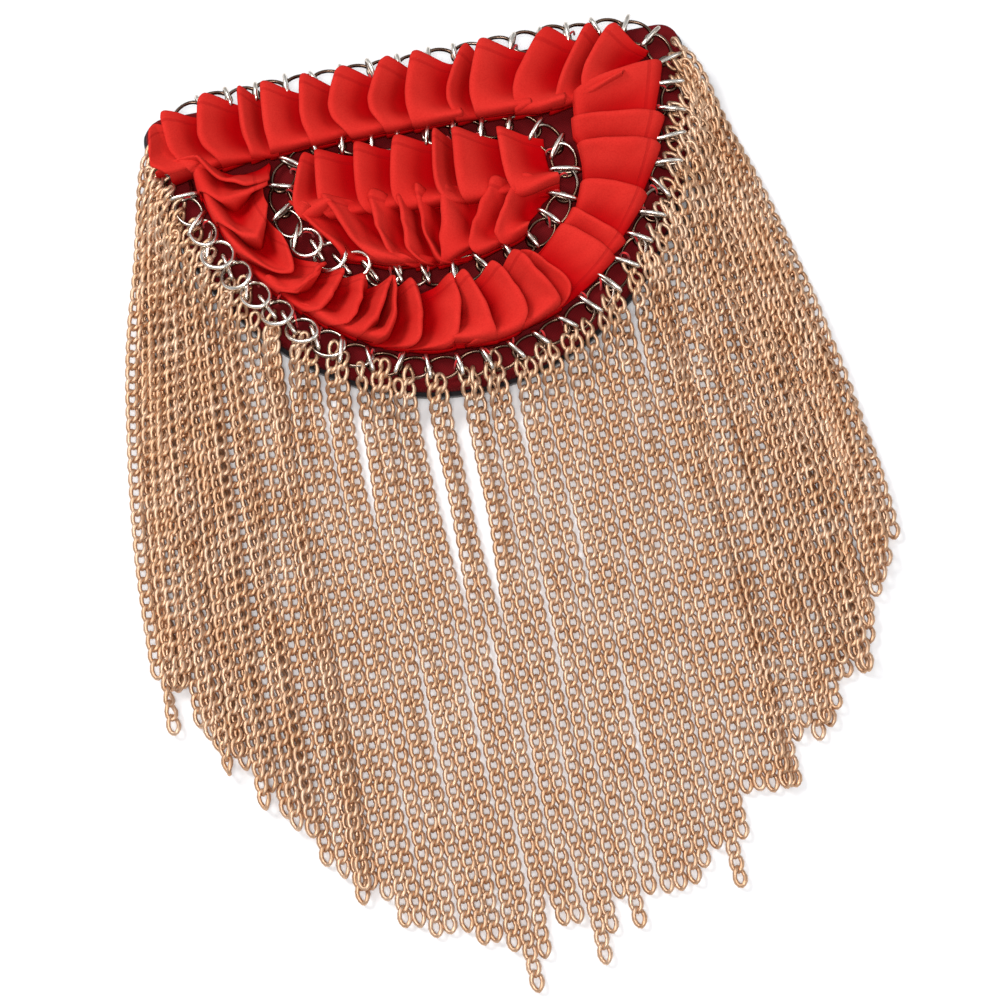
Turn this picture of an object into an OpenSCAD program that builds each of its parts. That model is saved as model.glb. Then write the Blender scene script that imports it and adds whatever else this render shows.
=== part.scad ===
// Bullion epaulette: a D-shaped shoulder pad with pleated ribbon, two ring chains
// and a long fringe, lying flat on its felt back. Millimetres, +Z up, X along the
// straight edge, fringe towards -Y, origin under the middle of the whole piece.

/* [Pad] */
// Width of the felt backing along the straight edge
pad_w = 115; // [95:1:140]
// Depth of the felt backing from the straight edge to the middle of the curve
pad_d = 73; // [66:1:95]
// Radius of the two corners of the backing
pad_corner = 5; // [3:0.5:9]
// Thickness of the felt backing
felt_t = 1.5; // [1:0.1:3]
// Width of felt that shows outside the padded base
felt_lip = 0.8; // [0.4:0.1:2]
// Thickness of the padded base
base_t = 3; // [2:0.1:5]
// Radius of the padded base's upper edge
base_round = 1; // [0.5:0.1:1.5]

/* [Ring chains] */
// Outer diameter of one chain ring
ring_d = 8; // [7:0.1:9]
// Wire diameter of the rings
ring_wire = 0.85; // [0.6:0.05:1.1]
// Sideways tilt of the rings, left and right in turn
ring_tilt = 45; // [40:1:50]
// Clear space between neighbouring rings
ring_clear = 0.3; // [0.25:0.05:0.5]
// Distance of the edge chain's middle from the straight edge
chain_in_top = 0.5; // [0:0.1:2]
// Corner radius of the edge chain
chain_corner = 12; // [10:0.5:16]
// Width of the inner chain's loop
loop_w = 59; // [52:1:66]
// Depth of the inner chain's loop
loop_d = 31; // [27:1:36]
// Distance of the inner loop's straight side from the pad's straight edge
loop_drop = 17; // [14:0.5:22]
// Distance of the inner loop's middle from the pad's middle, negative to the left
loop_shift = -3; // [-6:0.5:6]
// Turn of the inner loop on the pad
loop_turn = -5; // [-8:1:8]
// Corner radius of the inner loop
loop_corner = 11; // [10:0.5:13]

/* [Ruffles] */
// Height of the outer ruffle's folds above the padded base
ruffle_h = 7.5; // [5:0.5:9]
// Height of the inner ruffle's folds above the padded base
inner_ruffle_h = 6.5; // [4:0.5:8]
// Thickness of the gathered ribbon
ribbon_t = 1.1; // [1:0.1:1.4]
// Number of folds round the outer ruffle
outer_folds = 34; // [26:1:38]
// Number of folds across the inner ruffle
inner_folds = 8; // [6:1:9]
// Sideways lean of the folds, as a share of their height
fold_lean = 0.4; // [0:0.05:0.5]

/* [Fringe] */
// Length of the fringe below the middle of the curve
fringe_len = 119; // [90:1:140]
// Distance that the fringe spreads beyond the pad on each side
fringe_spread = 18; // [10:1:24]
// Number of locks of chain strands
locks = 23; // [19:2:27]
// Thickness of the fringe where it lies flat
lock_t = 2.2; // [1.6:0.1:3]
// Width of the header that the locks hang from
header_w = 1.2; // [1:0.1:1.6]
// Height of the header
header_h = 1.4; // [1:0.1:2]
// Distance from the pad's edge within which the locks come down to the surface
lock_fall = 6; // [4:0.5:10]

/* [Hidden] */
// Clearance between pieces that lie on one another
seat = 0.1;
// Clearance between the rings and what lies beside them
fold_clear = 0.3;
// Distance of the header from the felt's edge
header_edge = 0.1;

ring_r = (ring_d - ring_wire) / 2;
ring_half = ring_r * cos(ring_tilt) + ring_wire / 2;
ring_rise = ring_r * sin(ring_tilt) + ring_wire / 2;
ring_pitch = ring_d - 2 * ring_wire - ring_clear;
// The edge chain runs just inside the header
chain_in_curve = header_edge + header_w + fold_clear + ring_half;

half_w = pad_w / 2;
// The straight edge lies so that the whole piece is centred on Y
edge_y = (pad_d + fringe_len - (ring_half - chain_in_top)) / 2;
base_z = felt_t + seat;
base_top = base_z + base_t;
cloth_z = base_top + seat;
ring_z = cloth_z + ring_rise;

// Steps round a half ellipse and round a corner
curve_steps = 48;
corner_steps = 6;

// Round corner of a D outline, side -1 left or 1 right, from angle a0 to a1
function corner_arc(side, x, low, top, r, a0, a1) =
    [for (k = [0:corner_steps])
        let (a = a0 + (a1 - a0) * k / corner_steps)
        [side * (x - r * (1 - cos(a))), low + (top - low) * sin(a)]];

// D outline, clockwise from above: straight edge left to right, then the curve
function d_shape(hw, top, depth, corner) = concat(
    corner_arc(-1, hw, top - corner, top, corner, 0, 90),
    corner_arc(1, hw, top - corner, top, corner, 90, 0),
    [for (k = [1:curve_steps - 1])
        let (a = 180 * k / curve_steps)
        [hw * cos(a), top - corner - (depth - corner) * sin(a)]]
);

// The pad's curve is half an ellipse below this height
curve_y = edge_y - pad_corner;
curve_d = pad_d - pad_corner;
// Point of the curve at angle a, moved inwards along its normal
function curve_at(a, inset) = let (n = [cos(a) / half_w, -sin(a) / curve_d])
    [half_w * cos(a), curve_y - curve_d * sin(a)] - inset * n / norm(n);
// Distance of a point outside the curve
function outside(p) = half_w * (norm([p.x / half_w, (p.y - curve_y) / curve_d]) - 1);

// D outline that runs evenly inside the pad's edge, with its own corner radius
function pad_line(in_curve, in_top, corner) =
    let (top = edge_y - in_top, a0 = asin((curve_y - top + corner) / curve_d),
        start = curve_at(a0, in_curve))
    concat(
        corner_arc(-1, start.x, start.y, top, corner, 0, 90),
        corner_arc(1, start.x, start.y, top, corner, 90, 0),
        [for (k = [1:curve_steps - 1])
            curve_at(a0 + (180 - 2 * a0) * k / curve_steps, in_curve)]
    );

// Points turned about a centre
function turned(pts, angle, c) = [for (p = pts) let (q = p - c)
    c + [q.x * cos(angle) - q.y * sin(angle), q.x * sin(angle) + q.y * cos(angle)]];

// Running length beside each point of a closed outline: [length, x, y]
function run(pts) = let (q = concat(pts, [pts[0]]), n = len(q))
    [for (i = 0, s = 0; i < n; s = s + norm(q[min(i + 1, n - 1)] - q[i]), i = i + 1)
        [s, q[i].x, q[i].y]];
function run_len(t) = t[len(t) - 1][0];
function xs(t) = [for (r = t) [r[0], r[1]]];
function ys(t) = [for (r = t) [r[0], r[2]]];
// Point of a closed outline at a share of its length
function at(t, share) = let (s = (share - floor(share)) * run_len(t))
    [lookup(s, xs(t)), lookup(s, ys(t))];

// Outlines of the pieces, all worked out from the pad's edge
function pad_outline(inset) = pad_line(inset, inset, pad_corner - inset);
// Edge chain's outline moved inwards, with its corners at most this much tighter
tighter = 5;
function edge_line(inset) = pad_line(chain_in_curve + inset, chain_in_top + inset,
    chain_corner - min(inset, tighter));
loop_top = edge_y - loop_drop;
loop_mid = [0, loop_top - loop_d / 2];
// Inner loop's outline moved outwards
function loop_line(grow) = [for (p = turned(d_shape(loop_w / 2 + grow, loop_top + grow,
    loop_d + 2 * grow, loop_corner + grow), loop_turn, loop_mid)) p + [loop_shift, 0]];

// Wall of gathered ribbon between two runs of points.
// u runs along the folds, v across the ribbon from the first border to the second.
// columns of a ruffle's table: v, fold height as a share of the ruffle's height
V = 0;
H = 1;
outer_table = [[0, 0.80], [0.35, 1.0], [0.7, 0.9], [1, 0.55]];
fold_steps = 8;

// Height of fold number k, as a share, a little uneven as sewn by hand
function uneven(k) = 0.88 + 0.12 * sin(137 * k);

// Middle line of the ribbon in its own plane: [along, up] at fold position f
function fold_line(f, pitch, h) = let (rise = h * uneven(floor(f)) * (1 - cos(360 * f)) / 2)
    [f * pitch - fold_lean * rise, rise];
// The same line moved to one face of the ribbon
function fold_face(f, pitch, h, side) =
    let (d = fold_line(f + 0.01, pitch, h) - fold_line(f - 0.01, pitch, h))
    fold_line(f, pitch, h) + side * ribbon_t / 2 * [-d.y, d.x] / norm(d);

// Closed ring of ribbon between two closed outlines
module gathered_ring(outer, inner, folds, h, table) {
    n = folds * fold_steps;
    rows = len(table);
    m = 2 * rows;
    lo = run_len(outer);
    li = run_len(inner);
    pts = [for (j = [0:n - 1], k = [0:m - 1])
        let (upper = k < rows, row = upper ? k : m - 1 - k, v = table[row][V],
            length = lo * (1 - v) + li * v, pitch = length / folds,
            c = fold_face(j / fold_steps, pitch, (h - ribbon_t) * table[row][H], upper ? 1 : -1),
            p = at(outer, c.x / length) * (1 - v) + at(inner, c.x / length) * v)
        [p.x, p.y, cloth_z + ribbon_t / 2 + c.y]];
    faces = [for (j = [0:n - 1], k = [0:m - 1])
        let (a = j * m + k, b = j * m + (k + 1) % m,
            c = ((j + 1) % n) * m + (k + 1) % m, d = ((j + 1) % n) * m + k)
        each [[a, c, b], [a, d, c]]];
    polyhedron(pts, faces, convexity = 10);
}

// Two rows of folds inside the loop, narrowing with the D shape.
// columns: v down the loop, half-width share, height share, shift in folds
HALF = 1;
RISE = 2;
SHIFT = 3;
inner_table = [[0, 0.88, 0.8, 0.5], [0.22, 0.97, 1, 0.5], [0.44, 0.93, 0.6, 0.6],
    [0.58, 0.87, 0.9, 0.8], [0.8, 0.68, 0.9, 0.8], [1, 0.34, 0.5, 0.8]];

module gathered_rows() {
    n = inner_folds * fold_steps;
    rows = len(inner_table);
    m = 2 * rows;
    inset = ring_half + fold_clear + ribbon_t / 2;
    hw = loop_w / 2 - inset;
    pts = [for (j = [0:n], k = [0:m - 1])
        let (upper = k < rows, row = upper ? k : m - 1 - k, r = inner_table[row],
            w = 2 * hw * r[HALF], pitch = w / (inner_folds + 1),
            c = fold_face(j / fold_steps, pitch, (inner_ruffle_h - ribbon_t) * r[RISE],
                upper ? 1 : -1))
        [c.x - w / 2 + r[SHIFT] * pitch, loop_top - inset - r[V] * (loop_d - 2 * inset),
            cloth_z + ribbon_t / 2 + c.y]];
    sides = [for (j = [0:n - 1], k = [0:m - 1])
        let (a = j * m + k, b = j * m + (k + 1) % m, c = (j + 1) * m + (k + 1) % m,
            d = (j + 1) * m + k)
        each [[a, c, b], [a, d, c]]];
    caps = [for (k = [0:rows - 2])
        each [[k, k + 1, m - 1 - k], [k + 1, m - 2 - k, m - 1 - k],
            [n * m + k, n * m + m - 1 - k, n * m + k + 1],
            [n * m + k + 1, n * m + m - 1 - k, n * m + m - 2 - k]]];
    translate(loop_mid + [loop_shift, 0])
        rotate(loop_turn)
            translate(-loop_mid)
                polyhedron(pts, concat(sides, caps), convexity = 10);
}

module felt_backing() {
    color("#161414")
        linear_extrude(felt_t)
            polygon(pad_outline(0));
}

// Padded board: D outlines stacked, drawn in along a quarter round at the top
module padded_base() {
    round_step = 30;
    levels = concat([[0, 0]], [for (a = [0:round_step:90])
        [base_round * (1 - cos(a)), base_t - base_round * (1 - sin(a))]]);
    n = len(pad_outline(0));
    pts = [for (l = levels) for (p = pad_outline(felt_lip + l[0])) [p.x, p.y, base_z + l[1]]];
    last = (len(levels) - 1) * n;
    sides = [for (i = [0:len(levels) - 2], k = [0:n - 1])
        let (a = i * n + k, b = i * n + (k + 1) % n)
        each [[a, b, a + n], [b, b + n, a + n]]];
    color("#7d0b12")
        polyhedron(pts, concat(sides, [[for (k = [n - 1:-1:0]) k]],
            [[for (k = [0:n - 1]) last + k]]));
}

module outer_ruffle() {
    border = ring_half + fold_clear;
    color("#d8231f")
        gathered_ring(run(edge_line(border)), run(loop_line(border)), outer_folds,
            ruffle_h, outer_table);
}

module inner_ruffle() {
    color("#d8231f")
        gathered_rows();
}

module ring() {
    rotate_extrude($fn = 48)
        translate([ring_r, 0])
            circle(d = ring_wire, $fn = 24);
}

// Interlocked rings along a closed outline, tilted left and right in turn
module ring_chain(t) {
    count = 2 * ceil(run_len(t) / ring_pitch / 2);
    for (i = [0:count - 1]) {
        p = at(t, i / count);
        ahead = at(t, (i + 0.5) / count) - at(t, (i - 0.5) / count);
        translate([p.x, p.y, ring_z])
            rotate([ring_tilt * (i % 2 == 0 ? 1 : -1), 0, atan2(ahead.y, ahead.x)])
                ring();
    }
}

module edge_chain() {
    color("#b9b3a6")
        ring_chain(run(edge_line(0)));
}

module inner_chain() {
    color("#b9b3a6")
        ring_chain(run(loop_line(0)));
}

// Middle of the header, measured from the felt's edge
header_in = header_w / 2 + header_edge;
// The strands spread most at the sides, by this power of their place
spread_power = 3;
// Share of the sideways spread that a strand loses from its drop
side_loss = 0.6;
function spread(share) = fringe_spread * sign(0.5 - share) * pow(abs(1 - 2 * share), spread_power);
// Point of a strand, a share v of the way from the header to its tip.
// A share of 0 is the strand at the right end of the curve, 1 the one at the left.
function strand(share, v) = curve_at(180 * share, header_in) + [
    spread(share) * (1 - (1 - v) * (1 - v)),
    -v * (fringe_len + header_in - side_loss * abs(spread(share)))];

// Stations along a lock: share of its length, where 0 is in the header
stations = [0, 0.02, 0.06, 0.1, 0.16, 0.26, 0.45, 0.7, 1];
// Share of its room that a lock fills
lock_fill = 0.92;
// Share of a lock's width where its upper and lower faces begin
bevel = 0.12;
// Locks leave the header at three heights in turn, this far apart
lift = 0.12;
lifts = 3;

// Flat six-sided lock between two strands, coming down to the surface past the pad
module lock(i) {
    left = (i + 0.5 + lock_fill / 2) / locks;
    right = (i + 0.5 - lock_fill / 2) / locks;
    low = lock_t / 2;
    thin = header_h - (lifts + 1) * lift;
    high = cloth_z + lift + thin / 2 + lift * (i % lifts);
    pts = [for (v = stations)
        let (a = strand(left, v), b = strand(right, v), in = bevel * (b - a),
            q = max(0, min(1, min(outside(a), outside(b)) / lock_fall)),
            z = high + (low - high) * q, t = (thin + (lock_t - thin) * q) / 2)
        each [[a.x, a.y, z], [a.x + in.x, a.y + in.y, z - t], [b.x - in.x, b.y - in.y, z - t],
            [b.x, b.y, z], [b.x - in.x, b.y - in.y, z + t], [a.x + in.x, a.y + in.y, z + t]]];
    n = len(stations);
    faces = concat([[0, 1, 2, 3, 4, 5]], [[for (k = [5:-1:0]) (n - 1) * 6 + k]],
        [for (j = [0:n - 2], k = [0:5])
            let (a = j * 6 + k, b = j * 6 + (k + 1) % 6)
            each [[a, b + 6, b], [a, a + 6, b + 6]]]);
    polyhedron(pts, faces, convexity = 4);
}

module header() {
    pieces = 2 * locks;
    for (i = [0:pieces - 1])
        hull()
            for (k = [i, i + 1]) {
                p = curve_at(180 * k / pieces, header_in);
                translate([p.x, p.y, cloth_z])
                    cylinder(d = header_w, h = header_h, $fn = 8);
            }
}

module chain_fringe() {
    color("#c8a27a")
        union() {
            header();
            for (i = [0:locks - 1])
                lock(i);
        }
}

felt_backing();
padded_base();
outer_ruffle();
inner_ruffle();
edge_chain();
inner_chain();
chain_fringe();
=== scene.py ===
import math
import bpy
import numpy as np
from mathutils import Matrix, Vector


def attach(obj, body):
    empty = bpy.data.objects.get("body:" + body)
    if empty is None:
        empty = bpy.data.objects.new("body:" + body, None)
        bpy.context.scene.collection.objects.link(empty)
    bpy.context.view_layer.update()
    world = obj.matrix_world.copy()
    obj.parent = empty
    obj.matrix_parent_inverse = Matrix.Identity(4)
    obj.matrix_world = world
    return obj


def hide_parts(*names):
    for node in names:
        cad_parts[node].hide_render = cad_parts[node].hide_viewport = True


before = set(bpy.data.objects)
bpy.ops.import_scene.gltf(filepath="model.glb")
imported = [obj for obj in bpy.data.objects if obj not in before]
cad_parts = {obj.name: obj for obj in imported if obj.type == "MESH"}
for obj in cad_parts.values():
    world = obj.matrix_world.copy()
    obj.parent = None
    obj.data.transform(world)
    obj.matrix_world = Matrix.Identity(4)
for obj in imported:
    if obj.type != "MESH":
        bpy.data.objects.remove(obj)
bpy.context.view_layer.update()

MM = 0.001

# Sizes in millimetres, as in the part's source. Pad: a D with its straight edge at EDGE_Y
PAD_W, PAD_D, PAD_CORNER = 115.0, 73.0, 5.0
EDGE_Y = 94.77
HALF_W = PAD_W / 2
CURVE_Y = EDGE_Y - PAD_CORNER
CURVE_D = PAD_D - PAD_CORNER
# Thickness of the felt and the base, the felt's border round the base, and the surface that
# the ribbon is sewn to
FELT_T, FELT_LIP, BASE_T = 1.5, 0.8, 3.0
BASE_TOP = FELT_T + BASE_T
CLOTH_Z = BASE_TOP + 0.2
# Edge chain: how far inside the straight edge and the curve it runs, its corners, and how much
# tighter the corners may get on a line further in
CHAIN_IN_TOP, CHAIN_IN_CURVE, CHAIN_CORNER, TIGHTER = 0.5, 4.553, 12.0, 5.0
# Inner chain: a small D below the straight edge, turned by degrees and set to one side
LOOP_W, LOOP_D, LOOP_DROP, LOOP_TURN, LOOP_CORNER = 59.0, 31.0, 17.0, -5.0, 11.0
LOOP_SHIFT = -3.0
LOOP_TOP = EDGE_Y - LOOP_DROP
LOOP_MID = np.array([0.0, LOOP_TOP - LOOP_D / 2])
EDGE_RINGS, LOOP_RINGS = 48, 26
# Fringe: length, how far its sides spread, how much shorter a spread strand is for each
# millimetre, and how far inside the pad's curve it hangs
FRINGE_LEN, FRINGE_SPREAD, SIDE_LOSS, HEADER_IN = 119.0, 18.0, 0.6, 0.7


# Lines of the pad, worked out as in the part's source

def corner_arc(side, x, low, top, r, a0, a1, steps=14):
    """Quarter round of a D outline: x drawn in by r(1 - cos a), y raised by (top - low) sin a."""
    a = np.radians(np.linspace(a0, a1, steps + 1))
    return np.stack([side * (x - r * (1 - np.cos(a))), low + (top - low) * np.sin(a)], -1)


def d_shape(hw, top, depth, corner, steps=120):
    """D outline clockwise from above: two corners, then half an ellipse hw cos a, -(depth) sin a."""
    a = np.pi * np.arange(1, steps) / steps
    curve = np.stack([hw * np.cos(a), top - corner - (depth - corner) * np.sin(a)], -1)
    return np.vstack([corner_arc(-1, hw, top - corner, top, corner, 0, 90),
                      corner_arc(1, hw, top - corner, top, corner, 90, 0), curve])


def curve_at(a, inset):
    """Point of the pad's half ellipse at angle a in degrees, moved inwards along the normal."""
    a = np.radians(a)
    n = np.stack([np.cos(a) / HALF_W, -np.sin(a) / CURVE_D], -1)
    n = n / np.linalg.norm(n, axis=-1, keepdims=True)
    p = np.stack([HALF_W * np.cos(a), CURVE_Y - CURVE_D * np.sin(a)], -1)
    return p - np.asarray(inset)[..., None] * n


def outside(p):
    """Distance outside the pad's curve: half width times (ellipse radius - 1)."""
    return HALF_W * (np.hypot(p[..., 0] / HALF_W, (p[..., 1] - CURVE_Y) / CURVE_D) - 1)


def pad_line(in_curve, in_top, corner, steps=120):
    """D outline that runs evenly inside the pad's edge."""
    top = EDGE_Y - in_top
    a0 = math.degrees(math.asin((CURVE_Y - top + corner) / CURVE_D))
    start = curve_at(a0, in_curve)
    a = a0 + (180 - 2 * a0) * np.arange(1, steps) / steps
    return np.vstack([corner_arc(-1, start[0], start[1], top, corner, 0, 90),
                      corner_arc(1, start[0], start[1], top, corner, 90, 0),
                      curve_at(a, in_curve)])


def pad_outline(inset):
    """The pad's own outline, moved inwards."""
    return pad_line(inset, inset, PAD_CORNER - inset)


def edge_line(inset):
    """Middle line of the edge chain, moved inwards."""
    corner = CHAIN_CORNER - min(inset, TIGHTER)
    return pad_line(CHAIN_IN_CURVE + inset, CHAIN_IN_TOP + inset, corner)


def turned(p):
    """Points turned about the middle of the inner loop by its lean on the pad, then shifted."""
    t = math.radians(LOOP_TURN)
    q = p - LOOP_MID
    x = q[..., 0] * math.cos(t) - q[..., 1] * math.sin(t) + LOOP_SHIFT
    y = q[..., 0] * math.sin(t) + q[..., 1] * math.cos(t)
    return LOOP_MID + np.stack([x, y], -1)


def loop_line(grow):
    """Middle line of the inner chain, moved outwards."""
    return turned(d_shape(LOOP_W / 2 + grow, LOOP_TOP + grow, LOOP_D + 2 * grow,
                          LOOP_CORNER + grow))


def run_along(points):
    """Distance along a line of points, from its first."""
    return np.concatenate([[0], np.cumsum(np.linalg.norm(np.diff(points, axis=0), axis=1))])


# How far an open line may be followed past its ends
PAST_END = 1.5


class Line:
    """A line through points in the plan, read by the share of its length."""

    def __init__(self, points, closed=True):
        self.p = np.vstack([points, points[:1]]) if closed else np.asarray(points, float)
        self.run = run_along(self.p)
        self.length = self.run[-1]
        self.closed = closed

    def at(self, share):
        """Point at a share of the length; an open line goes straight on past its ends."""
        inside = np.mod(share, 1) if self.closed else np.clip(share, 0, 1)
        s = inside * self.length
        p = np.stack([np.interp(s, self.run, self.p[:, i]) for i in range(2)], -1)
        if self.closed:
            return p
        first, last = (self.p[[1, -1]] - self.p[[0, -2]]) / self.length
        first, last = first / np.linalg.norm(first), last / np.linalg.norm(last)
        over = ((share - inside) * self.length).clip(-PAST_END, PAST_END)[..., None]
        return p + np.where(over < 0, over * first, over * last)

    def heading(self, share, step=0.004):
        return unit(self.at(share + step) - self.at(share - step))


def unit(v):
    return v / np.maximum(np.linalg.norm(v, axis=-1, keepdims=True), 1e-9)


def smooth(x, low, high):
    """0 below low, 1 above high, and 3t^2 - 2t^3 between them."""
    t = np.clip((x - low) / (high - low), 0, 1)
    return t * t * (3 - 2 * t)


def wander(share, seed, waves=5, low=1):
    """Smooth random wave of about -1 to 1 along a share from 0 to 1: a few sines added."""
    draw = np.random.default_rng(seed)
    out = np.zeros(np.shape(share))
    for n in range(low, low + waves):
        out = out + draw.normal() * np.sin(2 * np.pi * (n * np.asarray(share) + draw.random()))
    return out / math.sqrt(waves)


# Meshes

def grid_faces(rows, cols, wrap_rows=False, wrap_cols=False, flip=False):
    """Four-sided faces of a grid of rows by cols vertices."""
    i = np.arange(rows if wrap_rows else rows - 1)[:, None]
    j = np.arange(cols if wrap_cols else cols - 1)[None, :]
    i2, j2 = (i + 1) % rows, (j + 1) % cols
    quads = [i * cols + j, i2 * cols + j, i2 * cols + j2, i * cols + j2]
    if flip:
        quads.reverse()
    return np.stack(np.broadcast_arrays(*quads), -1).reshape(-1, 4)


def piece(name, verts, quads, finish, stands_for, tris=None, uv=None):
    """Mesh object from arrays in millimetres: rides on the part and stands for a CAD node."""
    verts = np.asarray(verts, float).reshape(-1, 3) * MM
    quads = np.asarray(quads).reshape(-1, 4)
    tris = np.zeros((0, 3), int) if tris is None else np.asarray(tris).reshape(-1, 3)
    mesh = bpy.data.meshes.new(name)
    mesh.vertices.add(len(verts))
    mesh.vertices.foreach_set("co", verts.ravel())
    corners = np.concatenate([quads.ravel(), tris.ravel()]).astype(np.int32)
    starts = np.concatenate([np.arange(len(quads)) * 4, len(quads) * 4 + np.arange(len(tris)) * 3])
    mesh.loops.add(len(corners))
    mesh.loops.foreach_set("vertex_index", corners)
    mesh.polygons.add(len(starts))
    mesh.polygons.foreach_set("loop_start", starts.astype(np.int32))
    mesh.update(calc_edges=True)
    mesh.shade_smooth()
    if uv is not None:
        layer = mesh.uv_layers.new(name="cloth")
        layer.data.foreach_set("uv", np.asarray(uv, float).reshape(-1, 2)[corners].ravel())
    made = bpy.data.objects.new(name, mesh)
    bpy.context.scene.collection.objects.link(made)
    made.data.materials.append(finish.material)
    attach(made, "root")
    if stands_for:
        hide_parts(stands_for)
    return made


def link_tube(half_long, half_wide, twist, wire, steps, sides):
    """Closed wire of one link: x = a cos f, and b sin f turned about x by twist cos f."""
    f = 2 * np.pi * np.arange(steps) / steps
    turn = math.radians(twist) * np.cos(f)
    middle = np.stack([half_long * np.cos(f), half_wide * np.sin(f) * np.cos(turn),
                       half_wide * np.sin(f) * np.sin(turn)], -1)
    along = unit(np.roll(middle, -1, 0) - np.roll(middle, 1, 0))
    out = unit(middle - (middle * along).sum(-1, keepdims=True) * along)
    side = np.cross(along, out)
    g = 2 * np.pi * np.arange(sides) / sides
    return middle[:, None] + wire / 2 * (np.cos(g)[None, :, None] * out[:, None]
                                         + np.sin(g)[None, :, None] * side[:, None])


def set_links(link, centre, along, up, roll, stretch=1.0, widen=1.0):
    """Copies of a link at each centre, its length along the chain, rolled about it in degrees."""
    along = unit(along)
    left = unit(np.cross(up, along))
    lift = np.cross(along, left)
    r = np.radians(roll)[:, None]
    side = np.cos(r) * left + np.sin(r) * lift
    turn = np.stack([along * stretch, side * widen, np.cross(along, side)], -1)
    verts = np.einsum("lij,svj->lsvi", turn, link) + centre[:, None, None]
    steps, sides = link.shape[:2]
    one = grid_faces(steps, sides, True, True, flip=True)
    faces = one[None] + (np.arange(len(centre)) * steps * sides)[:, None, None]
    return verts.reshape(-1, 3), faces.reshape(-1, 4)


# Finishes

class Wire:
    """A socket's value, so that sums are written as plain maths."""

    def __init__(self, finish, socket):
        self.finish, self.socket = finish, socket

    def sum(self, operation, *values):
        return self.finish.node("ShaderNodeMath", {"operation": operation}, dict(enumerate(values)))

    def __add__(self, other):
        return self.sum("ADD", self, other)

    __radd__ = __add__

    def __sub__(self, other):
        return self.sum("SUBTRACT", self, other)

    def __rsub__(self, other):
        return self.sum("SUBTRACT", other, self)

    def __mul__(self, other):
        return self.sum("MULTIPLY", self, other)

    __rmul__ = __mul__

    def __pow__(self, other):
        return self.sum("POWER", self, other)

    def wave(self):
        return self.sum("SINE", self)

    def clear_above(self, low, high):
        """0 below low and 1 above high."""
        ends = {"Value": self, "From Min": low, "From Max": high}
        return self.finish.node("ShaderNodeMapRange", {"interpolation_type": "SMOOTHSTEP"}, ends)


# Numbers of the Mix node's sockets for colours: three inputs and an output
MIX_FACTOR, MIX_ONE, MIX_OTHER, MIXED = 0, 6, 7, 2


class Finish:
    """A node material. Plain numbers and colours go straight on the shader's sockets."""

    def __init__(self, name, **fixed):
        self.material = bpy.data.materials.new(name)
        self.material.use_nodes = True
        self.tree = self.material.node_tree
        self.tree.nodes.clear()
        fixed = {key.replace("_", " "): value for key, value in fixed.items()}
        self.shader = self.tree.nodes.new("ShaderNodeBsdfPrincipled")
        self.feed(self.shader, fixed)
        end = self.tree.nodes.new("ShaderNodeOutputMaterial")
        self.tree.links.new(self.shader.outputs[0], end.inputs[0])

    def feed(self, node, values):
        for key, value in values.items():
            if isinstance(value, Wire):
                self.tree.links.new(value.socket, node.inputs[key])
            else:
                node.inputs[key].default_value = value

    def node(self, kind, settings, values, out=0):
        """New node with its settings, such as an operation, and the values or links it is fed."""
        made = self.tree.nodes.new(kind)
        for key, value in settings.items():
            setattr(made, key, value)
        self.feed(made, values)
        return Wire(self, made.outputs[out])

    def place(self, source="Object"):
        return self.node("ShaderNodeTexCoord", {}, {}, source)

    def parts(self, vector):
        made = self.node("ShaderNodeSeparateXYZ", {}, {0: vector})
        return [Wire(self, out) for out in made.socket.node.outputs]

    def noise(self, size, detail=2.0, rough=0.5):
        """Noise with patches of about this size in millimetres."""
        return self.node("ShaderNodeTexNoise", {}, {
            "Vector": self.place(), "Scale": 1 / (size * MM), "Detail": detail,
            "Roughness": rough})

    def mix(self, factor, one, other):
        """From one colour to the other as the factor goes from 0 to 1."""
        one, other = (c if isinstance(c, Wire) else (*c, 1) for c in (one, other))
        return self.node("ShaderNodeMix", {"data_type": "RGBA"},
                         {MIX_FACTOR: factor, MIX_ONE: one, MIX_OTHER: other}, MIXED)

    def bump(self, height, depth_mm, strength=1.0):
        return self.node("ShaderNodeBump", {}, {
            "Height": height, "Distance": depth_mm * MM, "Strength": strength})


def gold_plate():
    made = Finish("rose_gold_plate", Metallic=1.0)
    worn = made.noise(5.0, 3.0).clear_above(0.35, 0.7)
    colour = made.mix(worn, (0.62, 0.38, 0.228), (0.70, 0.49, 0.345))
    dull = made.noise(1.6, 2.0)
    made.feed(made.shader, {"Base Color": colour, "Roughness": dull * 0.2 + 0.38,
                            "Normal": made.bump(made.noise(0.35), 0.02, 0.5)})
    return made


def silver_plate():
    made = Finish("warm_silver_plate", Metallic=1.0)
    worn = made.noise(3.0, 3.0).clear_above(0.4, 0.75)
    colour = made.mix(worn, (0.94, 0.88, 0.79), (0.62, 0.52, 0.42))
    # Painted shade and painted reflection of the dark base: below 8.2 mm the rings turn towards dark
    # brown, fully so below 6.3 mm
    low = made.parts(made.place())[2].clear_above(6.3 * MM, 8.2 * MM)
    colour = made.mix(low, (0.15, 0.09, 0.06), colour)
    made.feed(made.shader, {"Base Color": colour, "Roughness": made.noise(1.2) * 0.2 + 0.14,
                            "Normal": made.bump(made.noise(0.8), 0.02, 0.4)})
    return made


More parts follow.
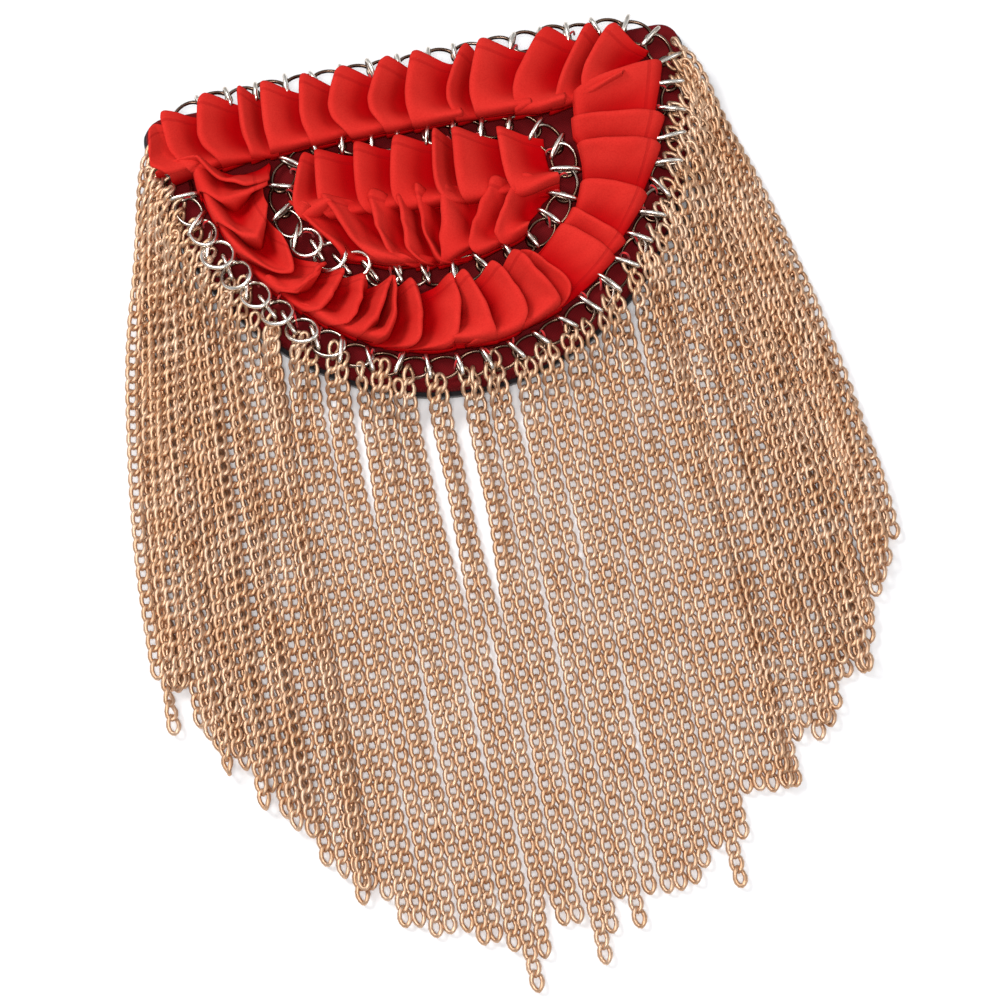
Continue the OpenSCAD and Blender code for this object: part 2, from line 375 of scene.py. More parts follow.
def red_crepe():
    """Matte crepe: fine pebbled weave, a little colour drift, painted shade low down in the folds, and
    a sewn line inside each border.
    """
    made = Finish("red_crepe", Sheen_Weight=0.01, Sheen_Roughness=0.4,
                  Sheen_Tint=(1.0, 0.3, 0.2, 1.0), Specular_IOR_Level=0.02)
    drift = made.noise(9.0, 2.0)
    pebble = made.noise(0.32, 2.0, 0.6)
    colour = made.mix(drift, (0.60, 0.022, 0.016), (0.68, 0.036, 0.026))
    # Painted shade in the folds: below 11 mm the crepe turns towards a deep saturated red, fully so
    # below 6 mm
    clear_of_painted_fold_shade = made.parts(made.place())[2].clear_above(6.0 * MM, 11.0 * MM)
    colour = made.mix(clear_of_painted_fold_shade, (0.43, 0.000, 0.002), colour)
    colour = made.mix(pebble.clear_above(0.35, 0.75) * 0.3, colour, (0.42, 0.004, 0.006))
    from_hem = (made.parts(made.place("UV"))[1] - 0.13) ** 2.0
    plain = from_hem.clear_above(0.00005, 0.0004)
    colour = made.mix(plain * 0.3 + 0.7, (0.3, 0.003, 0.005), colour)
    made.feed(made.shader, {"Base Color": colour, "Roughness": pebble * 0.15 + 0.72,
                            "Normal": made.bump(pebble * 0.35 + plain, 0.12, 0.6)})
    return made


def red_cloth():
    """Dark red plain weave: crossed sine threads 0.55 mm apart."""
    made = Finish("dark_red_cloth", Specular_IOR_Level=0.15)
    x, y, z = made.parts(made.place())
    thread = 2 * math.pi / (0.55 * MM)
    weave = (x * thread).wave() * (y * thread).wave() * 0.5 + 0.5
    colour = made.mix(made.noise(4.0), (0.13, 0.002, 0.004), (0.19, 0.003, 0.005))
    colour = made.mix(weave * 0.5, colour, (0.045, 0.001, 0.002))
    made.feed(made.shader, {"Base Color": colour, "Roughness": weave * 0.1 + 0.8,
                            "Normal": made.bump(weave, 0.08, 0.8)})
    return made


def black_felt():
    """Pressed fibres: fine noise with a soft sheen."""
    made = Finish("black_felt", Sheen_Weight=0.6, Sheen_Roughness=0.5, Specular_IOR_Level=0.1)
    fibre = made.noise(0.25, 4.0, 0.7)
    colour = made.mix(fibre, (0.006, 0.006, 0.007), (0.03, 0.027, 0.03))
    made.feed(made.shader, {"Base Color": colour, "Roughness": fibre * 0.1 + 0.88,
                            "Normal": made.bump(fibre, 0.15, 0.8)})
    return made


def red_thread():
    made = Finish("red_thread", Sheen_Weight=0.2, Specular_IOR_Level=0.3)
    ply = made.noise(0.2, 2.0)
    made.feed(made.shader, {"Base Color": made.mix(ply, (0.5, 0.01, 0.012), (0.75, 0.03, 0.03)),
                            "Roughness": ply * 0.2 + 0.5, "Normal": made.bump(ply, 0.05, 0.6)})
    return made


GOLD, SILVER, CREPE = gold_plate(), silver_plate(), red_crepe()
CLOTH, FELT, THREAD = red_cloth(), black_felt(), red_thread()


# Pad

def stacked_pad(name, levels, inward, finish, stands_for, rough=0.0, seed=1):
    """Closed slab: D outlines stacked by (inset, height), joined to rings drawn towards its middle."""
    base = pad_outline(0)
    n = len(base)
    middle = np.array([0.0, EDGE_Y - PAD_D / 2])
    edge = rough * wander(np.arange(n) / n, seed, waves=24, low=6)[:, None]
    rows = []
    low, high = levels[0], levels[-1]
    for share in inward:
        rows.append(np.column_stack([middle + (pad_outline(low[0]) - middle) * share,
                                     np.full(n, low[1])]))
    for inset, height in levels:
        ring = pad_outline(inset)
        ring = ring + unit(ring - middle) * edge
        rows.append(np.column_stack([ring, np.full(n, height)]))
    for share in inward[::-1]:
        rows.append(np.column_stack([middle + (pad_outline(high[0]) - middle) * share,
                                     np.full(n, high[1])]))
    verts = np.vstack(rows)
    count = len(rows)
    quads = grid_faces(count, n, False, True)
    ends = np.array([[*middle, low[1]], [*middle, high[1]]])
    k = np.arange(n)
    last = (count - 1) * n
    tris = np.vstack([np.column_stack([np.full(n, len(verts)), k, (k + 1) % n]),
                      np.column_stack([np.full(n, len(verts) + 1), last + (k + 1) % n, last + k])])
    return piece(name, np.vstack([verts, ends]), quads, finish, stands_for, tris)


# Rings between the middle and the edge of a slab's flat faces, as shares of the way out
INWARD = np.array([0.25, 0.5, 0.75, 0.9, 0.97])
# Rounded edges from the bottom up: inset from the pad's outline, and height
FELT_EDGE = [(0.25, 0.0), (0.05, 0.15), (0, 0.5), (0.02, FELT_T - 0.4), (0.1, FELT_T - 0.1),
             (0.35, FELT_T)]
COVER_EDGE = [(FELT_LIP + 0.3, FELT_T + 0.1), (FELT_LIP, FELT_T + 0.4),
              (FELT_LIP - 0.05, FELT_T + 1.3), (FELT_LIP + 0.1, BASE_TOP - 0.8),
              (FELT_LIP + 0.4, BASE_TOP - 0.25), (FELT_LIP + 0.8, BASE_TOP),
              (FELT_LIP + 1.4, BASE_TOP + 0.1)]
felt = stacked_pad("felt_back", FELT_EDGE, INWARD, FELT, "felt_backing",
                   rough=0.07, seed=4)
cover = stacked_pad("base_cover", COVER_EDGE, INWARD, CLOTH, "padded_base",
                    rough=0.03, seed=5)


# Ring chains

RING_WIRE, RING_STEPS, RING_SIDES = 0.95, 32, 8
# Half length and half width of a flat ring's middle line and the height of its middle, and how
# narrow it is in a chain that is pulled straight
FLAT_LONG, FLAT_WIDE, FLAT_Z, PULLED = 3.5, 3.1, 5.8, 0.76
# The same of a ring that stands, which is longer by a share where the chain runs along Y
STANDING_LONG, STANDING_TALL, STANDING_Z, STANDING_GROWS = 2.05, 0.78, 7.1, 0.38
# Where the chain lies loose its rings are higher, lean further and turn: mm and degrees
LOOSE_RISE, LOOSE_LEAN, LOOSE_TURN = 2.2, 14, 70


def loose_stretch(middle, half):
    """1 on the stretch of a chain that lies loose and 0 elsewhere: exp(-((s - middle)/half)^4)."""
    return lambda s: np.exp(-((s - middle) / half) ** 4)


def ring_chain(name, line, count, stands_for, loose, seed):
    """Flat rings that overlap like tiles and, between them, rings that stand across the chain.
    Each is link_tube set at a share of the line, turned about Z, then leant forwards."""
    draw = np.random.default_rng(seed)

    def set_ring(share, wide, tall, height, lean, turn, flat_ring):
        flat = line.at(share) + 0.15 * draw.normal(size=(count, 2))
        heading = line.heading(share, 0.5 / count)
        ahead = np.column_stack([heading, np.zeros(count)])
        left = np.column_stack([-heading[:, 1], heading[:, 0], np.zeros(count)])
        up = np.tile([0.0, 0.0, 1.0], (count, 1))
        c, s = np.cos(np.radians(turn))[:, None], np.sin(np.radians(turn))[:, None]
        ahead, left = c * ahead + s * left, c * left - s * ahead
        c, s = np.cos(np.radians(lean))[:, None], np.sin(np.radians(lean))[:, None]
        ahead, up = c * ahead - s * up, c * up + s * ahead
        centre = np.column_stack([flat, height + 0.1 * draw.normal(size=count)])
        link = link_tube(wide, tall, 0, RING_WIRE, RING_STEPS, RING_SIDES)
        if flat_ring:
            wider = (PULLED + (1 - PULLED) * loose(share)[:, None]
                     + 0.05 * draw.normal(size=(count, 1)))
            return set_links(link, centre, ahead, up, 6 * draw.normal(size=count), 1.0, wider)
        longer = (1 + STANDING_GROWS * np.abs(heading[:, 1:])
                  + 0.06 * draw.normal(size=(count, 1)))
        return set_links(link, centre, left, ahead, np.zeros(count), longer)

    share = np.arange(count) / count
    lean = 8 + 5 * draw.normal(size=count) + LOOSE_LEAN * loose(share)
    turn = 5 * draw.normal(size=count)
    flat_rings = set_ring(share, FLAT_LONG, FLAT_WIDE, FLAT_Z + LOOSE_RISE * loose(share), lean,
                          turn, True)
    share = (np.arange(count) + 0.5) / count
    lean = 9 * draw.normal(size=count).clip(-1.5, 1.5)
    turn = LOOSE_TURN * loose(share) + 13 * draw.normal(size=count)
    standing = set_ring(share, STANDING_LONG, STANDING_TALL, STANDING_Z, lean, turn, False)
    verts = np.vstack([flat_rings[0], standing[0]])
    faces = np.vstack([flat_rings[1], standing[1] + len(flat_rings[0])])
    return piece(name, verts, faces, SILVER, stands_for)


edge_run = Line(edge_line(0))
loop_run = Line(loop_line(0))
ring_chain("edge_ring_chain", edge_run, EDGE_RINGS, "edge_chain", loose_stretch(0.885, 0.075), 21)
ring_chain("inner_ring_chain", loop_run, LOOP_RINGS, "inner_chain", loose_stretch(0.88, 0.085), 22)


# Ribbon laid in folds

# Thickness, the gap under it, the width of a band, and how high the sewn hems stand, from which
# share of the width on and how far apart
RIBBON_T, RIBBON_GAP, BAND_W = 0.3, 0.35, 13
HEM_RISE, HEM_FROM, HEM_STEP = 0.8, 0.82, 0.09
# How much the folds differ: shares of their width, height, bow, puff and lean back, and mm of
# slant
UNEVEN = {"wide": 0.28, "tall": 0.12, "bow": 0.6, "puff": 0.42, "back": 0.035, "slant": 1.7}
# Sizes of the crumpling's puffs in mm
PUFFS = (9.0, 11.0, 6.5)
# Section of a fold: q along its ribbon, x across the run and z up, as shares of its size
SECTION = {"q": [0, 0.1, 0.2, 0.28, 0.36, 0.5, 0.7, 0.88, 1],
           "x": [0.14, 0.04, -0.1, -0.13, -0.02, 0.24, 0.62, 0.95, 1.14],
           "z": [0.0, 0.4, 0.8, 0.96, 1.0, 0.72, 0.3, 0.08, 0.0]}
# Where a fold's wall ends and its crest begins
WALL_END = 0.3


def spline(x, knots, values):
    """Smooth line through the knots: straight between them, then eased three times."""
    fine = np.linspace(0, 1, 201)
    y = np.interp(fine, knots, values)
    for _ in range(3):
        padded = np.pad(y, 5, mode="reflect", reflect_type="odd")
        y = np.convolve(padded, np.ones(11) / 11, mode="valid")
    return np.interp(x, fine, y)


def creases(a, b, seed):
    """Round puffs with sharp grooves between them: the mean of |sin(pi (a cos t + b sin t)/size)|."""
    draw = np.random.default_rng(seed)
    out = 0
    for size in PUFFS:
        t = draw.uniform(0, np.pi)
        bent = a * np.cos(t) + b * np.sin(t) + 1.5 * np.sin(b / 3 + 6 * draw.random())
        out = out + np.sqrt(np.sin(np.pi * (bent / size + draw.random())) ** 2 + 0.03) / len(PUFFS)
    return out - 0.62


class Folds:
    """Uneven folds along a run. They are counted by f, and q is the share of the one reached.
    Along and z are the place along the run and the height that SECTION gives there."""

    def __init__(self, count, steps, draw):
        self.count, self.draw = count, draw
        self.f = np.arange(count * steps + 1) / steps
        self.k = np.minimum(np.floor(self.f).astype(int), count - 1)
        self.q = self.f - self.k
        wide = 1 + UNEVEN["wide"] * draw.normal(size=count).clip(-1.5, 1.7)
        wide = wide / wide.sum()
        start = (np.cumsum(wide) - wide)[self.k][:, None]
        x, self.z = (spline(self.q, SECTION["q"], SECTION[c])[:, None] for c in ("x", "z"))
        self.along = start + self.own(wide) * x

    def own(self, value):
        """Each fold's own value, eased over from the fold before it along its wall."""
        eased = smooth(self.q, 0, WALL_END)
        return (value[np.maximum(self.k - 1, 0)] * (1 - eased) + value[self.k] * eased)[:, None]

    def uneven(self, mean, spread):
        """A random value for each fold."""
        return self.own(mean + spread * self.draw.normal(size=self.count).clip(-1.7, 1.7))

    def into_fold(self):
        """0 on the crest, and 1 down in the fold on each side of it."""
        q = self.q
        return np.where(q < WALL_END, 1 - smooth(q, 0, WALL_END), smooth(q, WALL_END, 1))[:, None]


def pleats(outer, inner, count, rise, table, seed, rough, lip, sway, lift, steps=34):
    """Ribbon between two lines in flat folds that lie over each other. Along the run each fold
    follows SECTION: a wall, a rolled crest and a panel down into the next wall. Across it, the
    table gives place, crest height, floor height and how far the crest swings; the floor rises
    to a lip near the inner line, which slants back along the panel. Lift raises the run's first
    two folds by that many millimetres and flattens them."""
    folds = Folds(count, steps, np.random.default_rng(seed))
    along, z = folds.along, folds.z
    v = np.linspace(0, 1, table["rows"])[None]
    place, crest, floor, swing = (spline(v, table["v"], table[c])
                                  for c in ("place", "crest", "floor", "swing"))
    tall, slant = folds.uneven(1, UNEVEN["tall"]), folds.uneven(0, UNEVEN["slant"] * sway)
    bow, puff = folds.uneven(1, UNEVEN["bow"]) * sway, folds.uneven(1, UNEVEN["puff"])
    lips = np.interp(folds.f, [0, count], lip)[:, None]
    back = folds.uneven(0, UNEVEN["back"] * sway) + lips
    back = back * folds.into_fold() * smooth(v, 0.3, 0.7) * (1 - smooth(v, 0.86, 0.97))
    length = outer.length * (1 - place) + inner.length * place
    # Height: floor and crest, crumpling where the ribbon is raised, the lift, and the hems
    height = rise * (floor * puff * (1 - z) + crest * tall * z)
    creased = creases(along * length, place * BAND_W, seed + 1)
    height = height + rough * creased * smooth(height, 0, 2.5)
    over = (1 - smooth(folds.f, 0.8, 2.0))[:, None] * lift
    height = height * (1 - 0.1 * over) + over * (1 - smooth(v, 0.86, 1))
    hems = (np.abs(np.sin(np.pi * (v - HEM_FROM) / HEM_STEP))
            * smooth(v, HEM_FROM, HEM_FROM + HEM_STEP / 3))
    height = height + HEM_RISE * hems
    # Place in the plan: between the two lines, and aside along the run
    place = place - back - table["flare"] * (z - 0.6) * (1 - smooth(v, 0.0, 0.35))
    place = place + 0.06 * (z - 0.5) * smooth(v, 0.9, 1)
    crumpled = 0.5 * rough * creases(place * BAND_W, along * length, seed)
    aside = swing * bow + slant * (v - 0.45) + crumpled
    share = along + aside / length
    flat = outer.at(share) * (1 - place)[..., None] + inner.at(share) * place[..., None]
    level = CLOTH_Z + RIBBON_GAP + np.clip(height, 0, None)
    weave = np.stack(np.broadcast_arrays(folds.f[:, None], v), -1)
    return np.concatenate([flat, level[..., None]], -1), weave


def ribbon(name, outer, inner, count, rise, table, seed, stands_for, rough=0.3,
           lip=(0.1, 0.1), sway=1.0, lift=0.0):
    """One length of ribbon, gathered into folds between an outer and an inner line."""
    verts, weave = pleats(Line(outer, False), Line(inner, False), count, rise, table, seed, rough,
                          lip, sway, lift)
    made = piece(name, verts, grid_faces(*verts.shape[:2]), CREPE, stands_for,
                 uv=weave)
    wall = made.modifiers.new("cloth thickness", "SOLIDIFY")
    wall.thickness = RIBBON_T * MM
    wall.offset = 0
    return made


# Distance from a chain's middle line to the ribbon's border
BORDER = 3.1
# Across the ribbon, from the outer line at v = 0 to the inner one at v = 1: place, crest and floor
# as shares of the way and of the rise, and the crest's swing in mm. Bands, wide flat tiles, and
# box folds with an upright end
BAND = {"rows": 54, "v": [0, 0.08, 0.24, 0.4, 0.52, 0.62, 0.7, 0.77, 0.82, 0.9, 1.0],
        "place": [-0.04, 0.03, 0.25, 0.49, 0.70, 0.86, 0.97, 1.01, 0.99, 0.98, 0.97],
        "crest": [0.7, 0.88, 1.0, 1.0, 0.98, 0.93, 0.85, 0.68, 0.42, 0.24, 0.05],
        "floor": [0.2, 0.12, 0.02, 0.02, 0.16, 0.48, 0.7, 0.56, 0.3, 0.14, 0.03],
        "swing": [1.2, 0.5, -0.5, -1.2, -0.9, 0.2, 1.0, 1.3, 1.5, 1.5, 1.5], "flare": 0.3}
TILES = {**BAND, "place": [-0.04, 0.03, 0.25, 0.49, 0.68, 0.81, 0.91, 0.97, 1.0, 1.0, 0.94],
         "crest": [0.5, 0.8, 1.0, 1.0, 1.0, 0.98, 0.95, 0.85, 0.7, 0.4, 0.1],
         "floor": [0.2, 0.25, 0.1, 0.05, 0.08, 0.16, 0.3, 0.34, 0.3, 0.16, 0.04],
         "swing": [0.3, 0.1, -0.1, -0.2, -0.2, 0.0, 0.2, 0.3, 0.3, 0.3, 0.3], "flare": 0.12}
BOX = {**BAND, "swing": [0.3, 0.1, -0.2, -0.4, -0.4, -0.1, 0.6, 1.5, 2.0, 2.0, 2.0], "flare": 0.16}
edge_border, loop_border = edge_line(BORDER), loop_line(BORDER)
# The runs follow stretches of the chains' borders, counted clockwise from the upper left corner,
# and points of their own where they leave them. The lower and the left run lie the other way
# round: their first line is on the inner chain
top_outer = [(-55.5, 86), (-54, 89.5), (-49, 91.5), (-40, 93), (0, 93.2), (32, 93.0), (41, 91.5),
             (49, 88)]
top_inner = [(-55, 77.5), (-46, 78), (-37, 79), (-25, 79.3), (-8, 79), (12, 78.5), (24, 77),
             (33, 77.5), (40, 79.5)]
ribbon("top_ribbon", top_outer, top_inner, 14, 6.6, BAND, 31, "outer_ruffle",
       lip=(0.04, 0.04), lift=4.0)
side_outer = edge_border[30:72]
side_inner = np.vstack([[(31.5, 79.5)], loop_border[25:66]])
ribbon("side_ribbon", side_outer, side_inner, 6, 6.4, TILES, 33, "outer_ruffle",
       rough=0.5, lip=(0.04, 0.04))
ribbon("lower_ribbon", loop_border[64:124], edge_border[70:126], 11, 7.2, BOX, 35,
       "outer_ruffle", rough=1.6, lip=(0.06, 0.06), sway=1.1)
left_outer = np.vstack([edge_border[122:], [(-55, 80)]])
wide_border = loop_line(BORDER + 0.6)
left_inner = np.vstack([wide_border[118:], wide_border[:6]])
ribbon("left_ribbon", left_inner, left_outer, 5, 6.6, {**BAND, "flare": 0.1}, 39,
       "outer_ruffle", rough=1.8, lip=(0.1, 0.1), sway=2.2)


def across(y_share, half, sag=0.0):
    """Line across the inner loop from left to right at a share of its depth: y = top - sag x^2."""
    inset = BORDER + 0.2
    x = np.linspace(-1, 1, 60)
    y = LOOP_TOP - inset - y_share * (LOOP_D - 2 * inset) - sag * x * x
    return turned(np.stack([(LOOP_W / 2 - inset) * half * x, y], -1))


ribbon("inner_ribbon_upper", across(-0.06, 0.93, 1.5), across(0.56, 1.0), 7, 6.2, BOX, 41,
       "inner_ruffle")
ribbon("inner_ribbon_lower", across(0.42, 1.02), across(1.08, 0.66, -3.5), 8, 5.8, BOX, 43,
       "inner_ruffle", rough=2.6, lip=(0.08, 0.08), sway=1.5)


# Fringe: strands of fine twisted chain

# Chain: pitch, wire, half length and half width of a link's middle line, its twist in degrees,
# and the points along and round its wire
PITCH, GOLD_WIRE, LINK_LONG, LINK_WIDE = 2.83, 0.92, 1.85, 1.06
LINK_TWIST, LINK_STEPS, LINK_SIDES = 46, 13, 6
# Places of the strands along the pad's curve, in steps of a 64th: closer together at both ends
SPREAD = 64
BETWEEN = np.array([1.5, 2.5, 3.5, 5.5, 7.5, 9.5, 12.5, 16.5])
PLACES = np.sort(np.concatenate([np.arange(SPREAD), BETWEEN, SPREAD - 1 - BETWEEN]))
STRANDS = len(PLACES)
# Distance between strands that don't crowd each other
STRAND_GAP = 3.0
# Two strands that share a ring start this share of a step from its middle
PAIR = 0.42
# Height of a strand on the floor and on the pad, and how much higher than on the floor the
# strands lie that crowd each other, by turns
LOW_Z, HIGH_Z, LAYERS = 1.04, 5.7, np.array([0, 0.95, 0.3, 1.25])
# Distance from the origin towards the tips of the line that the links are counted from, and
# the pieces that the fringe is divided into
LEVEL_Y, FRINGE_PIECES = 20, 4
# Gaps that show the floor: place across the pad, width, first and last share of the strands
SLITS = [(-45, 2.4, 0.0, 0.16), (-37.5, 2.4, 0.0, 0.14), (-31.5, 2.4, 0.0, 0.27),
         (-25.5, 2.8, 0.0, 0.3), (-12.8, 2.4, 0.0, 0.36), (-6, 2.6, 0.0, 0.38),
         (-8, 1.0, 0.42, 0.52), (6.8, 2.0, 0.0, 0.12), (27.5, 2.2, 0.0, 0.12), (35, 1.6, 0.0, 0.2),
         (-8, 2.2, 0.84, 1.4)]
# Where the strands end: points along the lower edge, and strands that hang this many links further
TIPS = [(-77, -25), (-68.4, -27), (-67.4, -38), (-62, -42), (-60, -46), (-56.4, -49),
        (-53.7, -56.7), (-50.7, -60), (-47.7, -69), (-41.8, -73.6), (-38.5, -75), (-34.5, -81),
        (-30, -84), (-25, -86.4), (-16, -91), (-12.7, -92.5), (-8, -88), (-4, -90), (2.5, -91.4),
        (5.5, -87), (12, -89), (14.5, -84.5), (20.7, -84), (26, -81), (30, -79.5), (33.8, -72),
        (38, -73), (41.4, -70.5), (45, -62.5), (49, -61.5), (52, -59.5), (55, -53), (63, -50),
        (67.6, -37), (70, -33), (73, -25)]
LONGER = [(-72.7, 3), (-63.9, 3), (-58.6, 2), (-44.3, 1), (-35, 1), (-13, 2), (-0.4, 2), (8.4, 2),
          (26.7, 2), (43.2, 2), (53.4, 1)]


def pushed_aside(v, k, even, fine, on_edge):
    """How far each strand is from its even place in mm: away from the gaps in SLITS, less so
    with distance, and aside in waves of its own that are larger towards the sides."""
    slip = np.zeros(np.broadcast_shapes(v.shape, k.shape))
    for at, width, first, last in SLITS:
        opened = smooth(v, first - 0.05, first + 0.02) * (1 - smooth(v, last - 0.2, last + 0.05))
        along = np.interp(math.degrees(math.acos(at / HALF_W)), fine, on_edge.run) / on_edge.length
        away = k + 0.5 - round(along * SPREAD)
        slip = slip + np.sign(away) * width / 2 * np.exp(-np.abs(away) / 2.5) * opened
    for n in range(STRANDS):
        slip[n] += 0.35 * wander(v[0] * 0.6, 100 + n, 4) * smooth(v[0], 0.02, 0.3)
        slip[n] += (0.5 * abs(1 - 2 * even[n, 0]) ** 2) * wander(v[0] * 0.8, 300 + n, 3)
    return slip


def strand_lines():
    """Middle lines of the strands: each leaves the pad's curve square to it, then runs towards -Y
    and spreads sideways by FRINGE_SPREAD (1 - 2 share)^3 (1 - (1 - v)^2)."""
    fine = np.linspace(0, 180, 2001)
    on_edge = Line(curve_at(fine, np.full(fine.shape, HEADER_IN)), closed=False)
    v = np.linspace(0, 1.1, 261)[None, :]
    k = PLACES[:, None]
    even = (k + 0.5) / SPREAD
    pair = (2 * (k // 2) + 1 + PAIR * (2 * (k % 2) - 1)) / SPREAD
    held = 1 - smooth(v, 0.04, 0.38)
    place = even + (pair - even) * held
    share = place + pushed_aside(v, k, even, fine, on_edge) / on_edge.length
    angle = np.interp(share * on_edge.length, on_edge.run, fine)
    side = 1 - 2 * angle / 180
    spread = FRINGE_SPREAD * side ** 3
    start = curve_at(angle, np.full(angle.shape, HEADER_IN))
    drop = v * (FRINGE_LEN + HEADER_IN + 8 - SIDE_LOSS * np.abs(spread))
    x = start[..., 0] + spread * (1 - (1 - v) ** 2)
    y = start[..., 1] - drop
    outward = unit(start - curve_at(angle, np.full(angle.shape, HEADER_IN + 1)))
    tuck = -(2.0 + 1.2 * (np.arange(STRANDS)[:, None] % 3)) * np.exp(-v * FRINGE_LEN / 3.0)
    flat = np.stack([x, y], -1) + outward * tuck[..., None]
    clear = outside(flat)
    fall = smooth(clear, -0.6, 6.0)
    gap = np.abs(np.diff(flat[..., 0], axis=0, prepend=flat[:1, :, 0] + STRAND_GAP))
    crowd = smooth(STRAND_GAP - gap, 0.2, 1.3)
    layer = LAYERS[np.arange(STRANDS) % len(LAYERS)][:, None]
    low = LOW_Z + crowd * layer + 0.12 * wander(v * 0.5, 77, 6)
    high = HIGH_Z + 0.35 * np.exp(-v * FRINGE_LEN / 2.0)
    z = high + (low - high) * fall
    return np.concatenate([flat, z[..., None]], -1)


def strand_ends(lines, draw):
    """Length of each strand: up to the line through TIPS, a third of them a link shorter, and
    those nearest to a place in LONGER longer by its links."""
    ends, tips = [], []
    for p in lines:
        run = run_along(p)
        past = np.nonzero(p[:, 1] < np.interp(p[:, 0], *zip(*TIPS)))[0]
        last = past[0] if len(past) else len(p) - 1
        ends.append(run[last])
        tips.append(p[last, 0])
    ends = np.array(ends) - PITCH * draw.choice([0, 0, 1], size=STRANDS)
    for x, links in LONGER:
        ends[np.argmin(np.abs(np.array(tips) - x))] += links * PITCH
    return ends


def fringe():
    """Links of link_tube along each strand, a pitch apart and rolled about it by a random wave.
    They are counted from a line across the fringe, so that neighbours' links lie side by side."""
    lines = strand_lines()
    link = link_tube(LINK_LONG, LINK_WIDE, LINK_TWIST, GOLD_WIRE, LINK_STEPS, LINK_SIDES)
    draw = np.random.default_rng(51)
    ends = strand_ends(lines, draw)
    phase = np.cumsum(0.09 * draw.normal(size=STRANDS)) + 0.05 * draw.normal(size=STRANDS)
    for g in range(FRINGE_PIECES):
        centre, along, roll = [], [], []
        for n in range(g * STRANDS // FRINGE_PIECES, (g + 1) * STRANDS // FRINGE_PIECES):
            p = lines[n]
            run = run_along(p)
            level_run = np.interp(LEVEL_Y, -p[:, 1], run)
            s = np.arange(0.4 + (level_run + PITCH * phase[n]) % PITCH, min(ends[n], run[-1]) - 1.2,
                          PITCH)
            c = np.stack([np.interp(s, run, p[:, i]) for i in range(3)], -1)
            ahead = np.stack([np.interp(s + 1, run, p[:, i]) - np.interp(s - 1, run, p[:, i])
                              for i in range(3)], -1)
            share = s / run[-1]
            edge = abs(1 - 2 * (PLACES[n] + 0.5) / SPREAD)
            loose = 9 + 40 * np.exp(-share * 12) + 26 * edge ** 3
            r = loose * wander(share * 0.9, 500 + n, 6, 1) + 5 * draw.normal(size=len(s))
            c[:, 2] += 0.9 * np.abs(np.sin(np.radians(r)))
            centre.append(c)
            along.append(ahead)
            roll.append(r)
        centre, along, roll = np.vstack(centre), np.vstack(along), np.concatenate(roll)
        up = np.tile([0.0, 0.0, 1.0], (len(centre), 1))
        verts, faces = set_links(link, centre, along, up, roll)
        piece("fringe_strands_%d" % (g + 1), verts, faces, GOLD, "chain_fringe")


fringe()


# Stitches: a thread over the chain between two rings

THREAD_R, THREAD_SIDES, STITCH_RISE, STITCH_IN = 0.24, 6, 2.6, 1.7


def stitches(name, line, count, half, seed):
    """Half loops of thread: across the chain by -half cos t and up by a rise times sin t^0.7."""
    draw = np.random.default_rng(seed)
    share = (np.arange(count) + 0.5 + 0.1 * draw.normal(size=count)) / count
    heading = line.heading(share)
    flat = line.at(share) + STITCH_IN * np.stack([heading[:, 1], -heading[:, 0]], -1)
    left = np.stack([-heading[:, 1], heading[:, 0]], -1)
    t = np.linspace(0, np.pi, 9)
    aside = -half * np.cos(t)[None] + 0.6 * draw.normal(size=(count, 1))
    rise = STITCH_RISE * np.sin(t)[None] ** 0.7 * np.ones((count, 1))
    lead = 0.5 * draw.normal(size=(count, 1)) * np.cos(t)[None]
    middle = np.concatenate([flat[:, None] + left[:, None] * aside[..., None]
                             + heading[:, None] * lead[..., None],
                             CLOTH_Z - 0.2 + rise[..., None]], -1)
    along = unit(np.gradient(middle, axis=1))
    flat_side = np.concatenate([heading, np.zeros((count, 1))], -1)[:, None]
    out = unit(flat_side - (flat_side * along).sum(-1, keepdims=True) * along)
    side = np.cross(along, out)
    g = 2 * np.pi * np.arange(THREAD_SIDES) / THREAD_SIDES
    verts = middle[:, :, None] + THREAD_R * (np.cos(g)[:, None] * out[:, :, None]
                                             + np.sin(g)[:, None] * side[:, :, None])
    one = grid_faces(len(t), THREAD_SIDES, False, True, flip=True)
    faces = one[None] + (np.arange(count) * len(t) * THREAD_SIDES)[:, None, None]
    return piece(name, verts, faces, THREAD, None)


stitches("edge_stitches", edge_run, EDGE_RINGS, 0.9, 61)
stitches("inner_stitches", loop_run, LOOP_RINGS, 0.9, 62)


# Floor, light and camera

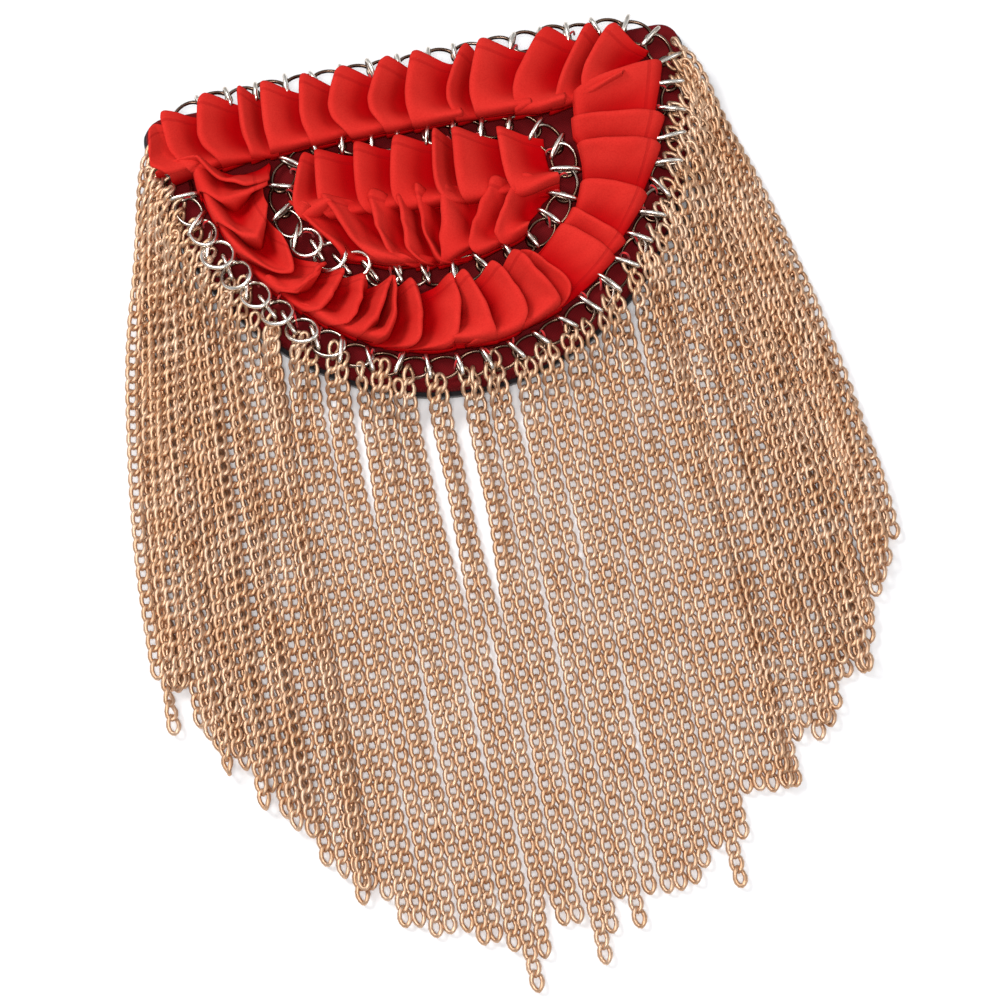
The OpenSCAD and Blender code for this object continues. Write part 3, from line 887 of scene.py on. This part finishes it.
# Name, place in metres, side and power in watts
LAMPS = [("key_lamp", (-0.45, 0.4, 0.75), 0.35, 4.8), ("fill_lamp", (0.6, -0.1, 0.7), 0.4, 1.2),
         ("front_lamp", (-0.1, -0.3, 0.85), 0.25, 4.0)]


def floor_and_light():
    # Painted light: the table glows faintly (Emission_Strength 0.06), which lifts the shade on the
    # floor seen through the fringe and lights the metal from below
    white = Finish("white_table", Roughness=0.9, Specular_IOR_Level=0.1, Emission_Strength=0.06)
    colour = white.mix(white.noise(900.0), (0.86, 0.86, 0.87), (0.88, 0.88, 0.88))
    white.feed(white.shader, {"Base Color": colour})
    half, z = 3.0, -0.2 * MM
    mesh = bpy.data.meshes.new("table_top")
    mesh.from_pydata([(-half, -half, z), (half, -half, z), (half, half, z), (-half, half, z)], [],
                     [(0, 1, 2, 3)])
    table = bpy.data.objects.new("table_top", mesh)
    bpy.context.scene.collection.objects.link(table)
    table.data.materials.append(white.material)
    world = bpy.data.worlds.new("studio")
    world.use_nodes = True
    sky = world.node_tree.nodes["Background"]
    sky.inputs["Color"].default_value = (0.93, 0.95, 1.0, 1)
    sky.inputs["Strength"].default_value = 0.42
    bpy.context.scene.world = world
    for name, at, side, power in LAMPS:
        data = bpy.data.lights.new(name, "AREA")
        data.shape, data.size, data.energy = "SQUARE", side, power
        lamp = bpy.data.objects.new(name, data)
        lamp.location = at
        lamp.rotation_mode = "QUATERNION"
        lamp.rotation_quaternion = (Vector((0, 0, 0)) - Vector(at)).to_track_quat("-Z", "Y")
        bpy.context.scene.collection.objects.link(lamp)


def camera():
    """Seen from 18 degrees off the vertical and turned by 12 degrees, 550 mm away."""
    turn, height, far, aim = math.radians(-12), math.radians(72), 0.55, Vector((-0.001, -0.001, 0))
    back = Vector((math.sin(turn) * math.cos(height), -math.cos(turn) * math.cos(height),
                   math.sin(height)))
    data = bpy.data.cameras.new("camera")
    data.lens, data.sensor_width, data.sensor_fit = 99, 36, "HORIZONTAL"
    data.clip_start, data.clip_end = 0.01, 20
    made = bpy.data.objects.new("camera", data)
    made.location = aim + back * far
    made.rotation_mode = "QUATERNION"
    made.rotation_quaternion = (-back).to_track_quat("-Z", "Y")
    bpy.context.scene.collection.objects.link(made)
    bpy.context.scene.camera = made


floor_and_light()
camera()
bpy.context.scene.view_settings.view_transform = "Standard"
